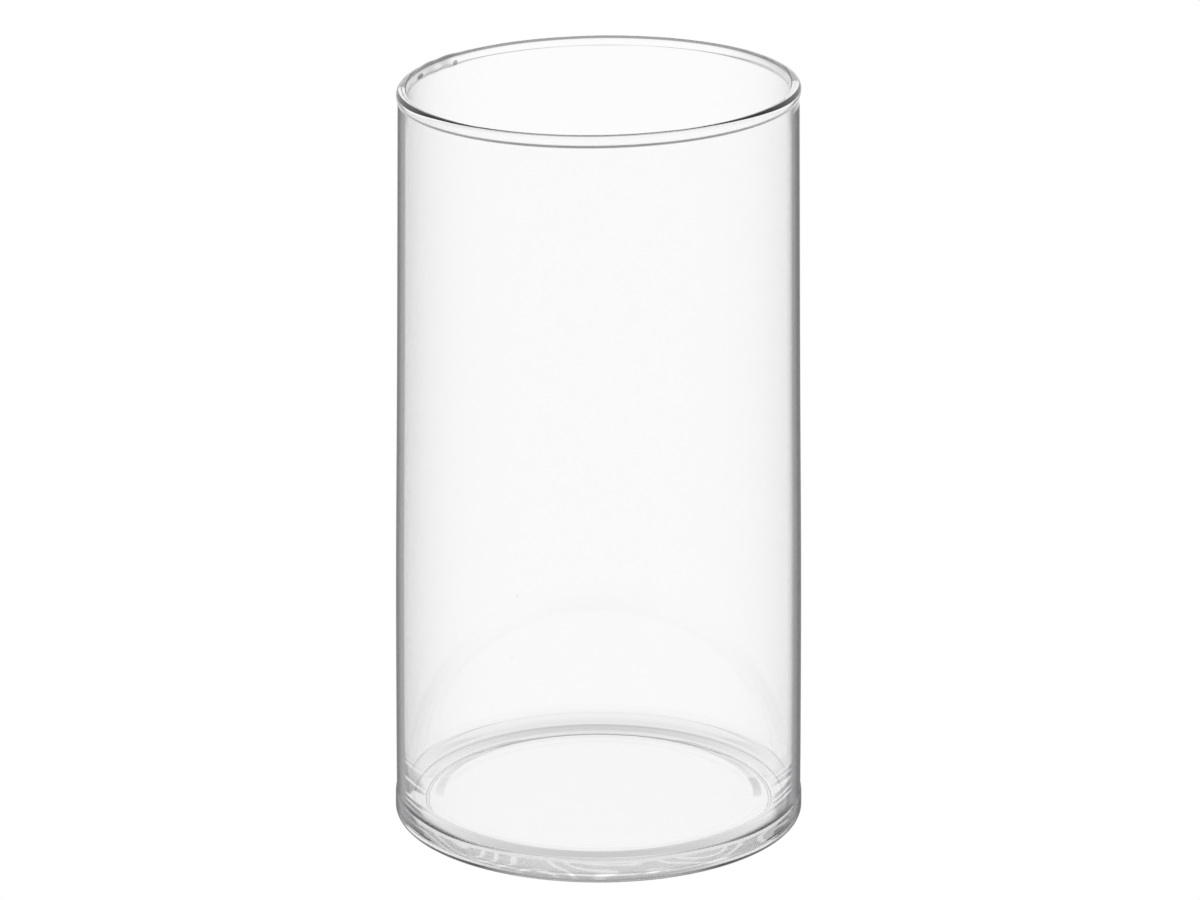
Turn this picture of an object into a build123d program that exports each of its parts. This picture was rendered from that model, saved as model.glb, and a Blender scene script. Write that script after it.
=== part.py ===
from build123d import *

import math
import os

# Glass cylinder vase, in millimetres. The origin is the centre of the standing plane, +Z is up.
# The vase is one piece of glass. It is divided here into the four zones that its forming leaves:
# the fire-polished bead of the rim, the plain wall, the solid heel ring that it stands on, and
# the floor inside that ring. Neighbouring zones meet face to face.

# Driving dimensions
HEIGHT = 180.0
WALL_OUTER_RADIUS = 50.0
WALL_THICKNESS = 2.4

BEAD_RADIUS = 1.45
BEAD_PROUD = 0.45
BEAD_BLEND = 0.6

FLOOR_TOP = 4.4
FLOOR_FILLET = 4.5
PUNT_HEIGHT = 0.8

HEEL_RADIUS = 1.8
HEEL_BULGE = 0.27
HEEL_TAPER_TOP = 7.0
STANDING_RING_INNER = 43.6
FLOOR_DISC_RADIUS = 42.5

MOULD_RING_RADII = (29.5, 36.5)
MOULD_RING_WIDTH = 0.8
MOULD_RING_DEPTH = 0.2

# Worked out from them
WALL_INNER_RADIUS = WALL_OUTER_RADIUS - WALL_THICKNESS
BEAD_CENTRE_RADIUS = WALL_OUTER_RADIUS + BEAD_PROUD - BEAD_RADIUS
BEAD_CENTRE_Z = HEIGHT - BEAD_RADIUS
RIM_JOIN_Z = BEAD_CENTRE_Z - 2 * BEAD_RADIUS
HEEL_JOIN_Z = FLOOR_TOP + FLOOR_FILLET
HEEL_OUTER_RADIUS = WALL_OUTER_RADIUS + HEEL_BULGE


def ring(section):
    """Turn a section, drawn with X as the radius and Y as the height, into a round solid."""
    return revolve(Plane.XZ * section, axis=Axis.Z, revolution_arc=360)


def rim_bead():
    """The rounded bead, nearly flush with the inside of the wall and proud of its outside."""
    stub_height = BEAD_CENTRE_Z - RIM_JOIN_Z
    stub_centre = (WALL_INNER_RADIUS + WALL_THICKNESS / 2, RIM_JOIN_Z + stub_height / 2)
    stub = Pos(*stub_centre) * Rectangle(WALL_THICKNESS, stub_height)
    bead = Pos(BEAD_CENTRE_RADIUS, BEAD_CENTRE_Z) * Circle(BEAD_RADIUS)
    section = stub + bead
    # The bead and the wall's outer line meet in an inner corner, which the flame rounds off.
    drop = math.sqrt(BEAD_RADIUS**2 - (WALL_OUTER_RADIUS - BEAD_CENTRE_RADIUS) ** 2)
    corner = Vector(WALL_OUTER_RADIUS, BEAD_CENTRE_Z - drop)
    outer_corner = section.vertices().sort_by_distance(corner)[0]
    section = fillet(outer_corner, BEAD_BLEND)
    return ring(section)


def cylinder_wall():
    """The plain tube between the heel ring and the bead."""
    length = RIM_JOIN_Z - HEEL_JOIN_Z
    tube = Cylinder(WALL_OUTER_RADIUS, length) - Cylinder(WALL_INNER_RADIUS, length)
    return Pos(0, 0, HEEL_JOIN_Z + length / 2) * tube


def heel_ring():
    """The ring that the vase stands on, with the rounded heel and the fillet round the floor."""
    punt_edge = (FLOOR_DISC_RADIUS, PUNT_HEIGHT)
    standing_inner = (STANDING_RING_INNER, 0)
    standing_outer = (HEEL_OUTER_RADIUS - HEEL_RADIUS, 0)
    heel_side = (HEEL_OUTER_RADIUS, HEEL_RADIUS)
    taper_top = (WALL_OUTER_RADIUS, HEEL_TAPER_TOP)
    join_outer = (WALL_OUTER_RADIUS, HEEL_JOIN_Z)
    join_inner = (WALL_INNER_RADIUS, HEEL_JOIN_Z)
    fillet_end = (WALL_INNER_RADIUS - FLOOR_FILLET, FLOOR_TOP)
    floor_edge = (FLOOR_DISC_RADIUS, FLOOR_TOP)
    outline = [
        Line(punt_edge, standing_inner),
        Line(standing_inner, standing_outer),
        RadiusArc(standing_outer, heel_side, -HEEL_RADIUS),
        Spline(heel_side, taper_top, tangents=[(0, 1), (0, 1)]),
        Line(taper_top, join_outer),
        Line(join_outer, join_inner),
        RadiusArc(join_inner, fillet_end, FLOOR_FILLET),
        Line(fillet_end, floor_edge),
        Line(floor_edge, punt_edge),
    ]
    return ring(make_face(outline))


def floor_disc():
    """The floor inside the heel ring, with the mould's shallow rings in its raised underside."""
    thickness = FLOOR_TOP - PUNT_HEIGHT
    disc = Pos(0, 0, PUNT_HEIGHT + thickness / 2) * Cylinder(FLOOR_DISC_RADIUS, thickness)
    for radius in MOULD_RING_RADII:
        groove = Cylinder(radius + MOULD_RING_WIDTH / 2, 2 * MOULD_RING_DEPTH)
        groove -= Cylinder(radius - MOULD_RING_WIDTH / 2, 2 * MOULD_RING_DEPTH)
        disc -= Pos(0, 0, PUNT_HEIGHT) * groove
    return disc


ZONES = {
    "rim_bead": rim_bead,
    "cylinder_wall": cylinder_wall,
    "heel_ring": heel_ring,
    "floor_disc": floor_disc,
}

os.makedirs("parts", exist_ok=True)
for node, make_zone in ZONES.items():
    zone = make_zone()
    zone.label = node
    export_step(zone, f"parts/{node}.step")
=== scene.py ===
"""Glass cylinder vase: a clear, fire-polished glass body standing in a bright, soft studio."""

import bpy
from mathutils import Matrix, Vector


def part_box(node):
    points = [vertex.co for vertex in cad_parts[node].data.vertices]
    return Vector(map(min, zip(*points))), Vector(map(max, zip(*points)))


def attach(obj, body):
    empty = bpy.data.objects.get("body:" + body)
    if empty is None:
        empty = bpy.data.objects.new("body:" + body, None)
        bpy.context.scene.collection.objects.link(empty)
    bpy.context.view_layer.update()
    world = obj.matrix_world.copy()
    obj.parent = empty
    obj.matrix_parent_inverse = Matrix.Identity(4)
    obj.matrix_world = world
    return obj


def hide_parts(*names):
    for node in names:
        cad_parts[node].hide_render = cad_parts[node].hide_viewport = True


bl_info = {
    "name": "Glass cylinder vase",
    "version": (1, 0, 0),
    "blender": (4, 5, 0),
    "location": "View3D > Sidebar > Vase",
    "description": "Builds a one-piece clear glass cylinder vase and the studio that it stands in",
    "category": "Add Mesh",
}

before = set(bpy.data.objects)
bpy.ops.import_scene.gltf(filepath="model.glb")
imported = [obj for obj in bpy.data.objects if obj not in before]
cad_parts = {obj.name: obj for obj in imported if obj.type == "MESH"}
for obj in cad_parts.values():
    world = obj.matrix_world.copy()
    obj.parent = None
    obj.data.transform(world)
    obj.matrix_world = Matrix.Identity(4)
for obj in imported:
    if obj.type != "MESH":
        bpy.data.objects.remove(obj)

import math

import bmesh
import bpy
import numpy as np
from bpy.props import FloatProperty, FloatVectorProperty, IntProperty, PointerProperty
from mathutils import Matrix, Vector, noise

MM = 0.001
TAU = 2 * math.pi

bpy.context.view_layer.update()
RIM_LOW, RIM_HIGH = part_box("rim_bead")
WALL_LOW, WALL_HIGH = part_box("cylinder_wall")
HEEL_LOW, HEEL_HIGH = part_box("heel_ring")
FLOOR_LOW, FLOOR_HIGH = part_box("floor_disc")

# Heights, from the floor up, where the heel's zones change.
HEEL_WIDEST = 5.1 * MM
WALL_FOOT = 6.1 * MM
SHOULDER = 5.9 * MM
# Radii of the shallow ledge that rings the floor's middle.
LEDGE_OUTER = 39.9 * MM
LEDGE_INNER = 38.5 * MM
# How far below the rim its lean starts, and how far the bead's painted shade reaches.
LEAN_DEPTH = 40 * MM
BEAD_ZONE = 4.7 * MM
# Small flaws in the rim: middle, squash along each axis, size.
RIM_FLAWS = (
    ((-36.6 * MM, 30.5 * MM, 177.0 * MM), (0.8, 0.8, 1.2), 0.95 * MM),
    ((-44.8 * MM, 16 * MM, 177.1 * MM), (0.8, 0.3, 1.4), 1.0 * MM),
)
# Colour of the painted shade line over the heel.
SHOULDER_SHADE_COLOUR = (0.002, 0.002, 0.003, 1)
LIGHT_BOUNCES = 40


def length(name, description, default):
    """A length in metres that a user can change."""
    return FloatProperty(name=name, description=description, default=default, unit="LENGTH", precision=5)


# ---------------------------------------------------------------- settings


class VaseGlassSettings(bpy.types.PropertyGroup):
    """Sizes and finish of the glass."""

    wall_radius: length("Wall radius", "Outside radius of the plain wall", WALL_HIGH[0])
    wall_thickness: length("Wall thickness", "Thickness of the plain wall", 2.4 * MM)
    barrel: length("Barrel", "How far the wall swells at its fullest height", 0.24 * MM)
    barrel_height: length("Barrel height", "Height at which the wall is fullest", 57 * MM)
    barrel_spread: length("Barrel spread", "How far the swelling reaches up and down", 42 * MM)
    draw_in: length("Draw-in", "How much the wall narrows towards the rim", 0.16 * MM)
    bead_radius: length("Bead radius", "Radius of the rounded bead on the rim", 1.45 * MM)
    rim_rise: length("Rim rise", "How much higher one side of the rim is than the middle", 0.75 * MM)
    fillet_width: length("Fillet width", "How far the curve beside the floor reaches inwards", 4.4 * MM)
    fillet_height: length("Fillet height", "How far the curve beside the floor reaches up the wall", 4.8 * MM)
    floor_step: length("Floor step", "Rise of the floor's outer ring over its middle", 0.2 * MM)
    heel_radius: length("Heel radius", "Radius of the rounded heel", 1.7 * MM)
    punt_radius: length("Punt radius", "Radius of the raised middle underneath", 42.3 * MM)
    chill_depth: length("Chill mark depth", "Depth of the chill marks round the heel", 0.002 * MM)
    lump_height: length("Lump height", "Height of the small lump on the rim", 0.2 * MM)
    lump_turn: FloatProperty(name="Lump place", description="Angle of the rim's lump, in degrees", default=141)
    turns: IntProperty(name="Divisions", description="Divisions of the glass round its axis", default=384)
    tint: FloatVectorProperty(
        name="Tint", description="Colour of the glass", subtype="COLOR", default=(0.975, 0.975, 0.977)
    )
    # Painted shade: the dark colour of the painted edges and lines, also used for the specks and rim flaws, and
    # the strength and reach of the painted edge shade.
    shade_and_flaw_colour: FloatVectorProperty(
        name="Edge colour", description="Colour of the glass seen edge on", subtype="COLOR",
        default=(0.04, 0.04, 0.045),
    )
    edge_shade_depth: FloatProperty(name="Edge depth", description="Strength of the edge colour", default=0.9)
    edge_shade_reach: FloatProperty(
        name="Edge reach", description="How closely the edge colour keeps to edges", default=3.0
    )
    mould_roughness: FloatProperty(
        name="Mould roughness", description="Roughness of the underside", default=0.14
    )
    index: FloatProperty(name="Refractive index", description="Index of soda-lime glass", default=1.52)


class VaseStudioSettings(bpy.types.PropertyGroup):
    """Light, floor and camera."""

    brightness: FloatProperty(name="Brightness", description="Strength of the soft panels", default=1.0)
    room_level: FloatProperty(name="Room level", description="Brightness of the room overhead", default=0.55)
    shade_depth: FloatProperty(
        name="Shade depth", description="Darkness of the soft shade round the foot", default=0.18
    )
    contact_depth: FloatProperty(
        name="Contact depth", description="Darkness under the standing ring", default=0.42
    )
    shade_reach: length("Shade reach", "How quickly the soft shade fades outside the foot", 5.5 * MM)
    stage_radius: length("Stage radius", "Radius of the flat floor before the backdrop rises", 2.6)
    camera_distance: length("Camera distance", "Level distance from the vase's axis", 1.4835)
    camera_height: length("Camera height", "Height of the lens above the floor", 0.5547)
    camera_aside: length("Camera aside", "How far the lens stands right of the vase's axis", 0.35 * MM)
    camera_fall: FloatProperty(
        name="Fall of the view", description="Drop for each unit of level distance", default=0.31432
    )
    camera_lens: FloatProperty(
        name="Focal length", description="Focal length of the lens in millimetres", default=188.07
    )


# ---------------------------------------------------------------- shader building


class Wire:
    """One output of a node, or a number, that adds Math nodes when it is used in arithmetic."""

    def __init__(self, bench, socket):
        self.bench = bench
        self.socket = socket

    def math(self, operation, *values):
        return self.bench.node("ShaderNodeMath", {"operation": operation}, values)

    def rise(self, low, high, least=0.0, most=1.0):
        """Goes smoothly from least at low to most at high, or falls when high is below low."""
        if low > high:
            low, high, least, most = high, low, most, least
        return self.bench.node("ShaderNodeMapRange", {"interpolation_type": "SMOOTHSTEP"}, {
            "Value": self, "From Min": low, "From Max": high, "To Min": least, "To Max": most})

    def above(self, level):
        return self.math("GREATER_THAN", self, level)

    def below(self, level):
        return self.math("LESS_THAN", self, level)

    def at_least(self, level):
        return self.math("MAXIMUM", self, level)

    def at_most(self, level):
        return self.math("MINIMUM", self, level)

    def exponent(self):
        return self.math("EXPONENT", self)

    def pingpong(self, span):
        return self.math("PINGPONG", self, span)

    def __add__(self, other):
        return self.math("ADD", self, other)

    def __radd__(self, other):
        return self.math("ADD", other, self)

    def __sub__(self, other):
        return self.math("SUBTRACT", self, other)

    def __rsub__(self, other):
        return self.math("SUBTRACT", other, self)

    def __mul__(self, other):
        return self.math("MULTIPLY", self, other)

    def __rmul__(self, other):
        return self.math("MULTIPLY", other, self)

    def __truediv__(self, other):
        return self.math("DIVIDE", self, other)

    def __pow__(self, other):
        return self.math("POWER", self, other)


class Bench:
    """Builds the nodes of one material or world."""

    def __init__(self, owner):
        owner.use_nodes = True
        self.tree = owner.node_tree
        self.tree.nodes.clear()

    def node(self, kind, settings, values, output=0):
        """Adds a node: its settings first, then the values or links of its sockets."""
        node = self.tree.nodes.new(kind)
        for name, value in settings.items():
            setattr(node, name, value)
        pairs = values.items() if isinstance(values, dict) else enumerate(values)
        for name, value in pairs:
            if isinstance(value, Wire):
                self.tree.links.new(value.socket, node.inputs[name])
            else:
                node.inputs[name].default_value = value
        return Wire(self, node.outputs[output])

    def vector(self, operation, *values):
        """A Vector Math node whose result is a vector."""
        return self.node("ShaderNodeVectorMath", {"operation": operation}, values)

    def size(self, vector):
        return self.node("ShaderNodeVectorMath", {"operation": "LENGTH"}, [vector], "Value")

    def part(self, vector, axis):
        """One component of a vector: X, Y or Z."""
        return self.node("ShaderNodeSeparateXYZ", {}, [vector], axis)

    def blend(self, factor, low, high):
        """A colour between low and high."""
        return self.node("ShaderNodeMix", {"data_type": "RGBA"}, {0: factor, 6: low, 7: high}, 2)

    def finish(self, kind, socket, wire):
        self.tree.links.new(wire.socket, self.tree.nodes.new(kind).inputs[socket])


def spot(bench, place, middle, squash, size):
    """A small dark flaw: 1 near its middle, fading to 0 at its size, measured after squashing."""
    offset = bench.vector("MULTIPLY", bench.vector("SUBTRACT", place, middle), squash)
    return bench.size(offset).rise(size, 0.7 * size)


class Surface:
    """What the painted shade knows about a point on the glass. Aside and behind are fixed to world X and Y."""

    def __init__(self, bench, settings):
        self.bench = bench
        self.air_side = 1 - bench.node("ShaderNodeNewGeometry", {}, {}, "Backfacing")
        self.place = bench.node("ShaderNodeNewGeometry", {}, {}, "Position")
        self.tilt = bench.part(bench.node("ShaderNodeNewGeometry", {}, {}, "Normal"), "Z")
        self.upright = 1 - self.tilt ** 2.0
        self.steepness = self.tilt.math("ABSOLUTE", self.tilt)
        self.across = bench.part(self.place, "X") / settings.wall_radius
        self.aside = self.across * self.across
        self.behind = bench.part(self.place, "Y")
        self.height = bench.part(self.place, "Z")
        self.radius = bench.size(bench.vector("MULTIPLY", self.place, (1, 1, 0)))
        self.outer_skin = self.radius.above(settings.wall_radius - 0.5 * settings.wall_thickness)
        self.facing = bench.node("ShaderNodeLayerWeight", {}, {"Blend": 0.5}, "Facing")
        self.grazing = self.facing + 0.028 * self.across.above(0)
        self.near_rim = self.height.above(RIM_HIGH[2] - BEAD_ZONE)
        self.on_bead = self.near_rim * self.steepness.rise(0.05, 0.3)
        self.streaks = self.noise((120, 120, 1500), {"Detail": 2.0, "Roughness": 0.6})
        self.folds = self.noise((45, 45, 260), {"Detail": 0.0})
        self.wavy = self.height + 0.6 * MM * (self.folds - 0.5)

    def noise(self, stretch, values):
        """Noise that is finer along the axes with the larger stretch."""
        vector = self.bench.vector("MULTIPLY", self.place, stretch)
        return self.bench.node("ShaderNodeTexNoise", {}, {"Vector": vector, "Scale": 1.0, **values})


def wall_edge_shade(at, settings):
    """Painted shade that darkens the wall's edges, where it is seen edge on."""
    soft = at.facing ** settings.edge_shade_reach * settings.edge_shade_depth * (0.8 - 0.2 * at.across)
    hard = at.grazing.rise(0.665, 0.78) * at.outer_skin
    return (soft + 0.8 * hard) * at.upright * (1 - at.on_bead)


def rim_shade_lines(at):
    """Painted shade: the dark lines on the bead's top and under it, and the line of its inner side seen through
    the glass.
    """
    rear = at.behind.above(0)
    crest = (at.tilt + 0.17 * rear).rise(0.78, 0.95) * (0.9 - 1.1 * at.aside * (1 - rear)).at_least(0.0)
    outer = at.near_rim * (crest + at.tilt.rise(-0.12, -0.35) * 0.95)
    inner = at.facing.rise(0.07, 0.18) * at.on_bead * (1.0 - 0.45 * at.aside) * (0.12 + 0.88 * rear)
    return outer, inner


def foot_shade(at):
    """Painted shade: the heel's streaky grey, the fade above it and the rings at the wall's foot."""
    line = (at.folds * 7.0).pingpong(0.5).rise(0.22, 0.06)
    band = (at.wavy - 0.9 * MM * at.aside.rise(0.05, 0.4)).rise(1.0 * MM, 1.3 * MM)
    band = band * at.wavy.rise(5.25 * MM, 5.0 * MM)
    grey = band * (0.4 + 0.22 * at.aside.rise(0.15, 0.6) + 0.25 * (at.streaks - 0.5) - 0.45 * line)
    over = at.wavy - SHOULDER
    tail = over.rise(-0.1 * MM, 0.05 * MM) * (over / (-1.3 * MM)).exponent() * at.aside.rise(0.05, 0.25) * 0.4
    rings = ((at.height + 6 * MM * at.folds) * 420.0).pingpong(0.5)
    edge_on = at.facing.rise(0.5, 0.58) * at.wavy.rise(22 * MM, 12 * MM) * at.upright * at.outer_skin
    return (grey + tail) * at.outer_skin + edge_on * rings.rise(0.12, 0.24) * 0.65


def foot_shade_lines(at):
    """Painted shade: the dark line over the heel, widest at the sides, and the line under the heel."""
    over = at.wavy - SHOULDER
    wedge = at.aside.rise(0.3, 0.8) * at.aside.rise(0.93, 0.86)
    fade = (0 - (over.at_least(0.0) / (0.4 * MM + 1.1 * MM * wedge)) ** 3.0).exponent()
    shoulder = over.rise(-0.1 * MM, 0.05 * MM) * fade * (0.35 + 0.65 * at.aside.rise(0.1, 0.5))
    under = at.height.below(1.3 * MM) * at.facing.rise(0.12, 0.22)
    return shoulder + under * (0.75 + 0.25 * at.aside.rise(0.08, 0.35))


def floor_shade_marks(at):
    """Painted shade on the ledge round the floor, with darker ends, and on the fillet's corner seen from inside
    the glass.
    """
    ledge = at.radius.rise(38.2 * MM, 38.5 * MM) * at.radius.rise(40.6 * MM, 40.3 * MM) * at.height.above(3 * MM)
    ends = at.behind.rise(-5 * MM, -3 * MM) * at.behind.rise(9 * MM, 8 * MM) * (0.3 + 0.15 * at.across)
    in_fillet = at.wavy.rise(9.5 * MM, 8.5 * MM) * at.radius.above(43.6 * MM) * (1 - at.outer_skin)
    return ledge * (at.behind.rise(-5 * MM, 4 * MM) * 0.16 + ends), in_fillet * at.aside.rise(0.62, 0.76) * 0.55


def clear_glass_material(settings):
    """Clear glass. Its dark lines are painted shade in its colour, set by height, radius and angle, and some by
    world X and Y.
    """
    material = bpy.data.materials.new("clear_glass")
    bench = Bench(material)
    at = Surface(bench, settings)
    shade_and_flaw_colour = (*settings.shade_and_flaw_colour, 1)
    bead, inner_bead_shade = rim_shade_lines(at)
    ledge, corner = floor_shade_marks(at)
    speck = bench.node("ShaderNodeTexVoronoi", {}, {"Vector": at.place, "Scale": 75.0}, "Distance")
    speck = speck.rise(0.017, 0.006)
    flaws = spot(bench, at.place, *RIM_FLAWS[0]) + spot(bench, at.place, *RIM_FLAWS[1])
    # Painted shade: the edge, rim, foot and floor marks darken the glass colour; the specks and rim flaws are
    # marks of the glass itself.
    depth = wall_edge_shade(at, settings) + bead + foot_shade(at) + ledge + 0.7 * speck + 0.8 * flaws
    depth = depth * at.air_side + (inner_bead_shade + corner) * (1 - at.air_side)
    colour = bench.blend(depth.at_most(1.0), (*settings.tint, 1), shade_and_flaw_colour)
    # Painted shade: the near-black line over the heel and the line under it.
    colour = bench.blend(foot_shade_lines(at) * at.outer_skin * at.air_side, colour, SHOULDER_SHADE_COLOUR)
    underneath = at.height.below(1.2 * MM) * at.steepness.above(0.7)
    glass = bench.node("ShaderNodeBsdfPrincipled", {}, {
        "Base Color": colour,
        "Roughness": settings.mould_roughness * underneath,
        "IOR": settings.index,
        "Transmission Weight": 1.0,
    })
    # Painted shade: a dark matte shader mixed in where the outer wall is seen edge on.
    edge = bench.node("ShaderNodeBsdfPrincipled", {}, {
        "Base Color": shade_and_flaw_colour, "Roughness": 1.0, "Specular IOR Level": 0.0})
    edge_shade_mix = at.grazing.rise(0.72, 0.9) * at.outer_skin * at.upright * (1 - at.near_rim) * at.air_side
    mixed = bench.node("ShaderNodeMixShader", {}, [edge_shade_mix * 0.7, glass, edge])
    bench.finish("ShaderNodeOutputMaterial", "Surface", mixed)
    return material


# ---------------------------------------------------------------- the glass section


def corner_curve(point, before, after, leg_in, leg_out, count):
    """Rounds a corner of an outline with a curve that leaves each side at its own leg's length."""
    point = Vector(point)
    start = point + (Vector(before) - point).normalized() * leg_in
    end = point + (Vector(after) - point).normalized() * leg_out
    quarter = 0.5523
    near_start = start.lerp(point, quarter)
    near_end = end.lerp(point, quarter)
    curve = []
    for step in range(count + 1):
        t = step / count
        u = 1 - t
        curve.append(u**3 * start + 3 * u * u * t * near_start + 3 * u * t * t * near_end + t**3 * end)
    return curve


def section_outline(corners, steps):
    """A rounded outline as evenly stepped points. A corner is (point, leg in, leg out, points, zone)."""
    outline = []
    for index, (point, leg_in, leg_out, count, zone) in enumerate(corners):
        if leg_in == 0:
            curve = [Vector(point)]
        else:
            before = corners[index - 1][0]
            after = corners[index + 1][0]
            curve = corner_curve(point, before, after, leg_in, leg_out, count)
        if outline:
            start = outline[-1][0]
            gap = (curve[0] - start).length
            pieces = max(1, round(gap / steps[zone]))
            for step in range(1, pieces):
                outline.append((start.lerp(curve[0], step / pieces), zone))
        outline.extend((place, zone) for place in curve)
    return outline


def glass_section(glass):
    """The vase's section from the axis underneath, round the outside and rim, to the floor's middle."""
    punt = FLOOR_LOW[2]
    floor_top = FLOOR_HIGH[2]
    middle_top = floor_top - glass.floor_step
    disc = glass.punt_radius
    heel = HEEL_HIGH[0]
    wall = glass.wall_radius
    inner = wall - glass.wall_thickness
    top = RIM_HIGH[2]
    bead_out = RIM_HIGH[0]
    bead_in = bead_out - 2 * glass.bead_radius
    bead_z = top - glass.bead_radius
    heel_r = glass.heel_radius
    standing_inner = disc + 0.5 * MM
    corners = [
        ((0, punt), 0, 0, 0, "under"),
        ((disc, punt), 0.4 * MM, 0.3 * MM, 6, "under"),
        ((standing_inner, 0), 0.3 * MM, 0.4 * MM, 6, "under"),
        ((heel, 0), heel_r, heel_r, 18, "stand"),
        ((heel, HEEL_WIDEST), 0.7 * MM, 0.5 * MM, 8, "heel"),
        ((wall, WALL_FOOT), 0.5 * MM, 0.9 * MM, 8, "heel"),
        ((wall, bead_z - 1.3 * MM), 0.5 * MM, 0.3 * MM, 6, "wall"),
        ((bead_out, bead_z - 0.8 * MM), 0.3 * MM, 0.7 * MM, 6, "bead"),
        ((bead_out, top), glass.bead_radius, glass.bead_radius, 14, "bead"),
        ((bead_in, top), glass.bead_radius, glass.bead_radius, 14, "bead"),
        ((inner, bead_z - 4 * MM), 1 * MM, 1 * MM, 4, "bead"),
        ((inner, floor_top), glass.fillet_height, glass.fillet_width, 28, "inside"),
        ((LEDGE_OUTER, floor_top), 0.4 * MM, 0.35 * MM, 6, "floor"),
        ((LEDGE_INNER, middle_top), 0.4 * MM, 0.5 * MM, 6, "floor"),
        ((0, middle_top), 0, 0, 0, "floor"),
    ]
    steps = {
        "under": 4 * MM, "stand": 1 * MM, "heel": 0.7 * MM, "wall": 5 * MM,
        "bead": 0.4 * MM, "inside": 5 * MM, "floor": 4 * MM,
    }
    return section_outline(corners, steps)


def smooth_step(low, high, value):
    """0 below low, 1 above high and a smooth rise between them."""
    t = np.clip((value - low) / (high - low), 0, 1)
    return t * t * (3 - 2 * t)


def shaped_section(glass, outline):
    """The section with the wall's swelling and draw-in added to its radius."""
    places = np.array([tuple(place) for place, _zone in outline])
    radius, height = places[:, 0], places[:, 1]
    swell = glass.barrel * np.exp(-(((height - glass.barrel_height) / glass.barrel_spread) ** 2))
    narrow = glass.draw_in * (height / RIM_HIGH[2]) ** 2
    near_wall = smooth_step(0.85 * glass.wall_radius, 0.93 * glass.wall_radius, radius)
    above_heel = smooth_step(4 * MM, 16 * MM, height)
    radius = radius + (swell - narrow) * near_wall * above_heel
    return radius, height


def relief(places, across, upward, seed):
    """Smooth noise from -1 to 1 at each place, stretched by its sizes across and upward."""
    flat = places.reshape(-1, 3)
    scale = (1 / across, 1 / across, 1 / upward)
    values = [
        noise.noise(Vector((x * scale[0] + seed, y * scale[1], z * scale[2])))
        for x, y, z in flat.tolist()
    ]
    return np.array(values).reshape(places.shape[:-1])


def chill_marks(places, marks):
    """Fine level streaks and agate-like contour lines, where the hot glass met the cold mould."""
    streaks = relief(places, 7 * MM, 0.55 * MM, 11.0)
    contours = np.sin(TAU * 2 * relief(places, 22 * MM, 4 * MM, 23.0))
    patches = smooth_step(-0.25, 0.35, relief(places, 22 * MM, 6 * MM, 37.0))
    height = places[..., 2]
    band = smooth_step(0.6 * MM, 1.6 * MM, height) * (1 - smooth_step(5.2 * MM, 6.6 * MM, height))
    return marks * band * (0.3 * streaks * patches + contours)


def glass_points(glass, radius, height, outline, turns):
    """The vertices of the glass, ring after ring, without the two on the axis."""
    angle = np.arange(turns) * TAU / turns
    out_r = np.gradient(height)
    out_z = -np.gradient(radius)
    size = np.hypot(out_r, out_z)
    out_r, out_z = out_r / size, out_z / size
    radius, height, out_r, out_z = (row[1:-1, None] for row in (radius, height, out_r, out_z))
    zones = [zone for _place, zone in outline][1:-1]
    cosine, sine = np.cos(angle)[None, :], np.sin(angle)[None, :]
    places = np.stack([radius * cosine, radius * sine, height * np.ones_like(cosine)], axis=2)
    raised = np.zeros(places.shape[:2])
    heel_rings = [row for row, zone in enumerate(zones) if zone in ("stand", "heel")]
    raised[heel_rings] += chill_marks(places[heel_rings], glass.chill_depth)
    bead_rings = [row for row, zone in enumerate(zones) if zone == "bead"]
    raised[bead_rings] += rim_relief(glass, places[bead_rings])
    radius = radius + out_r * raised
    top = RIM_HIGH[2]
    lift = glass.rim_rise * smooth_step(top - LEAN_DEPTH, top - 2 * MM, height)
    drop = glass.rim_rise * smooth_step(top - LEAN_DEPTH, top, height)
    z = height + out_z * raised + lift * cosine - drop
    return np.stack([radius * cosine, radius * sine, z], axis=2)


def rim_relief(glass, places):
    """The bead's slow swelling and the small lump where the rim was finished."""
    swelling = 0.05 * MM * relief(places, 14 * MM, 30 * MM, 5.0)
    turn = np.arctan2(places[..., 1], places[..., 0])
    away = (turn - math.radians(glass.lump_turn)) * glass.wall_radius / (3.2 * MM)
    lump = glass.lump_height * np.exp(-away**2)
    twin = (turn - math.radians(glass.lump_turn + 9)) * glass.wall_radius / (2.2 * MM)
    lump += 0.6 * glass.lump_height * np.exp(-twin**2)
    upper = smooth_step(RIM_HIGH[2] - 3.2 * MM, RIM_HIGH[2] - 1.5 * MM, places[..., 2])
    return (swelling + lump) * upper


def lathe_mesh(name, points, low_pole, high_pole):
    """A closed mesh from rings of vertices, with a fan of triangles at each end."""
    rings, turns, _ = points.shape
    vertices = np.concatenate([points.reshape(-1, 3), [low_pole, high_pole]])
    around = np.arange(turns)
    ahead = (around + 1) % turns
    quads = []
    for ring in range(rings - 1):
        here = ring * turns
        above = here + turns
        quads.append(np.stack([here + around, here + ahead, above + ahead, above + around], axis=1))
    last = (rings - 1) * turns
    low = rings * turns
    low_fan = np.stack([np.full(turns, low), ahead, around], axis=1)
    high_fan = np.stack([np.full(turns, low + 1), last + around, last + ahead], axis=1)
    faces = np.concatenate(quads).tolist() + low_fan.tolist() + high_fan.tolist()
    mesh = bpy.data.meshes.new(name)
    mesh.from_pydata(vertices.tolist(), [], faces)
    mesh.polygons.foreach_set("use_smooth", [True] * len(mesh.polygons))
    mesh.update()
    return mesh


def add_object(name, mesh):
    """Puts a mesh in the scene as an object."""
    thing = bpy.data.objects.new(name, mesh)
    bpy.context.scene.collection.objects.link(thing)
    return thing


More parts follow.
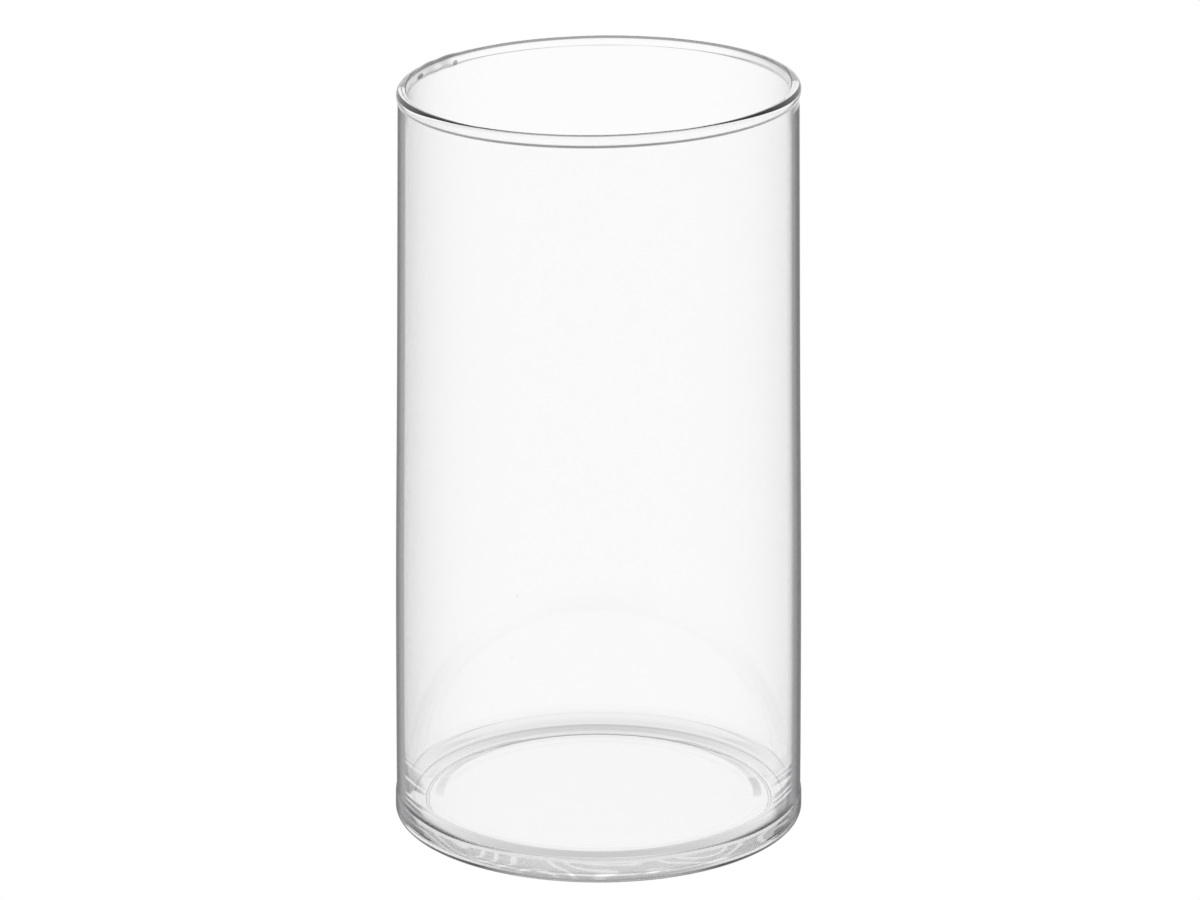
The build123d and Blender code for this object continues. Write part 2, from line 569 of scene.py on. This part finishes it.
class VASE_OT_glass_body(bpy.types.Operator):
    """Make the one-piece glass body: rim bead, wall, heel and floor"""

    bl_idname = "vase.glass_body"
    bl_label = "Glass body"

    def execute(self, context):
        glass = context.scene.vase_glass
        outline = glass_section(glass)
        radius, height = shaped_section(glass, outline)
        points = glass_points(glass, radius, height, outline, glass.turns)
        mesh = lathe_mesh("glass_body", points, (0, 0, height[0]), (0, 0, height[-1]))
        body = add_object("glass_body", mesh)
        mesh.materials.append(clear_glass_material(glass))
        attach(body, "root")
        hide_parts("rim_bead", "cylinder_wall", "heel_ring", "floor_disc")
        return {"FINISHED"}


# ---------------------------------------------------------------- the studio


def studio_world(studio):
    """A white room that is dimmer overhead."""
    world = bpy.data.worlds.new("studio_room")
    bpy.context.scene.world = world
    bench = Bench(world)
    heading = bench.node("ShaderNodeTexCoord", {}, {}, "Generated")
    up = bench.part(heading, "Z")
    level = up.rise(0.36, 0.6, 1.0, studio.room_level)
    light = bench.node("ShaderNodeBackground", {}, {
        "Color": (1, 1, 1, 1), "Strength": level * studio.brightness})
    bench.finish("ShaderNodeOutputWorld", "Surface", light)


def stage_mesh(studio):
    """A round floor that curves up into a backdrop all the way round."""
    flat = studio.stage_radius
    rise = 0.6
    profile = [(flat * step / 12, 0.0) for step in range(1, 13)]
    for step in range(1, 13):
        turn = math.pi / 2 * step / 12
        profile.append((flat + rise * math.sin(turn), rise * (1 - math.cos(turn))))
    profile.append((flat + rise, rise + 0.2))
    sides = 96
    mesh = bmesh.new()
    middle = mesh.verts.new((0, 0, 0))
    rings = []
    for radius, height in profile:
        ring = []
        for side in range(sides):
            turn = TAU * side / sides
            ring.append(mesh.verts.new((radius * math.cos(turn), radius * math.sin(turn), height)))
        rings.append(ring)
    for side in range(sides):
        mesh.faces.new((middle, rings[0][side], rings[0][(side + 1) % sides]))
    for inner, outer in zip(rings, rings[1:]):
        for side in range(sides):
            ahead = (side + 1) % sides
            mesh.faces.new((inner[side], outer[side], outer[ahead], inner[ahead]))
    for face in mesh.faces:
        face.smooth = True
    result = bpy.data.meshes.new("studio_floor")
    mesh.to_mesh(result)
    mesh.free()
    return result


def floor_material(studio):
    """A light table: plain white to camera rays, with a shade round the foot that only the glass sees."""
    material = bpy.data.materials.new("pale_floor")
    bench = Bench(material)
    place = bench.node("ShaderNodeNewGeometry", {}, {}, "Position")
    radius = bench.size(place)
    away = ((HEEL_HIGH[0] - radius) / studio.shade_reach).exponent()
    outside = radius.above(HEEL_HIGH[0]) * away * studio.shade_depth
    behind = bench.part(place, "Y") / radius
    ring = (radius - 1.1 * MM * behind).rise(FLOOR_HIGH[0] - 0.9 * MM, FLOOR_HIGH[0] + 1.4 * MM)
    under = radius.below(HEEL_HIGH[0]) * ring * studio.contact_depth
    shade = (outside + under) * (0.15 + 0.85 * behind**2.0)
    direct = bench.node("ShaderNodeLightPath", {}, {}, "Is Camera Ray")
    level = 1 - shade * (1 - direct)
    paper = bench.node("ShaderNodeEmission", {}, {"Color": (1, 1, 1, 1), "Strength": level})
    bench.finish("ShaderNodeOutputMaterial", "Surface", paper)
    return material


class VASE_OT_stage(bpy.types.Operator):
    """Make the floor, the light and the camera"""

    bl_idname = "vase.stage"
    bl_label = "Stage"

    def execute(self, context):
        studio = context.scene.vase_studio
        studio_world(studio)
        floor = add_object("studio_floor", stage_mesh(studio))
        floor.data.materials.append(floor_material(studio))
        self.place_camera(context, studio)
        context.scene.view_settings.view_transform = "Standard"
        context.scene.cycles.max_bounces = LIGHT_BOUNCES
        context.scene.cycles.glossy_bounces = LIGHT_BOUNCES
        context.scene.cycles.transmission_bounces = LIGHT_BOUNCES
        return {"FINISHED"}

    def place_camera(self, context, studio):
        """A view camera, whose film stands upright while its axis falls towards the vase.

        The stand's matrix is sheared, which acts as a lens shift of about 1.57 frame widths.
        """
        carrier = bpy.data.objects.new("camera_stand", None)
        context.scene.collection.objects.link(carrier)
        camera = bpy.data.objects.new("camera", bpy.data.cameras.new("camera"))
        context.scene.collection.objects.link(camera)
        camera.data.lens = studio.camera_lens
        camera.data.clip_end = 100
        place = Vector((studio.camera_aside, -studio.camera_distance, studio.camera_height))
        backward = Vector((0, -1, studio.camera_fall)).normalized()
        standards = Matrix.Translation(place)
        for row in range(3):
            standards[row][0:3] = ((1, 0, 0)[row], (0, 0, 1)[row], backward[row])
        camera.parent = carrier
        camera.matrix_parent_inverse = standards
        context.scene.camera = camera


# ---------------------------------------------------------------- the add-on


class VASE_PT_panel(bpy.types.Panel):
    """Lists what the add-on can make"""

    bl_idname = "VASE_PT_panel"
    bl_label = "Glass cylinder vase"
    bl_space_type = "VIEW_3D"
    bl_region_type = "UI"
    bl_category = "Vase"

    def draw(self, context):
        for settings in (context.scene.vase_glass, context.scene.vase_studio):
            for name in settings.bl_rna.properties.keys():
                if name not in ("rna_type", "name"):
                    self.layout.prop(settings, name)
        for operator in OPERATORS:
            self.layout.operator(operator.bl_idname)


SETTINGS = (VaseGlassSettings, VaseStudioSettings)
OPERATORS = (VASE_OT_stage, VASE_OT_glass_body)


def register():
    for cls in (*SETTINGS, *OPERATORS, VASE_PT_panel):
        bpy.utils.register_class(cls)
    bpy.types.Scene.vase_glass = PointerProperty(type=VaseGlassSettings)
    bpy.types.Scene.vase_studio = PointerProperty(type=VaseStudioSettings)


def unregister():
    del bpy.types.Scene.vase_studio
    del bpy.types.Scene.vase_glass
    for cls in reversed((*SETTINGS, *OPERATORS, VASE_PT_panel)):
        bpy.utils.unregister_class(cls)


def main():
    register()
    bpy.ops.vase.stage()
    bpy.ops.vase.glass_body()


if __name__ == "__main__":
    main()
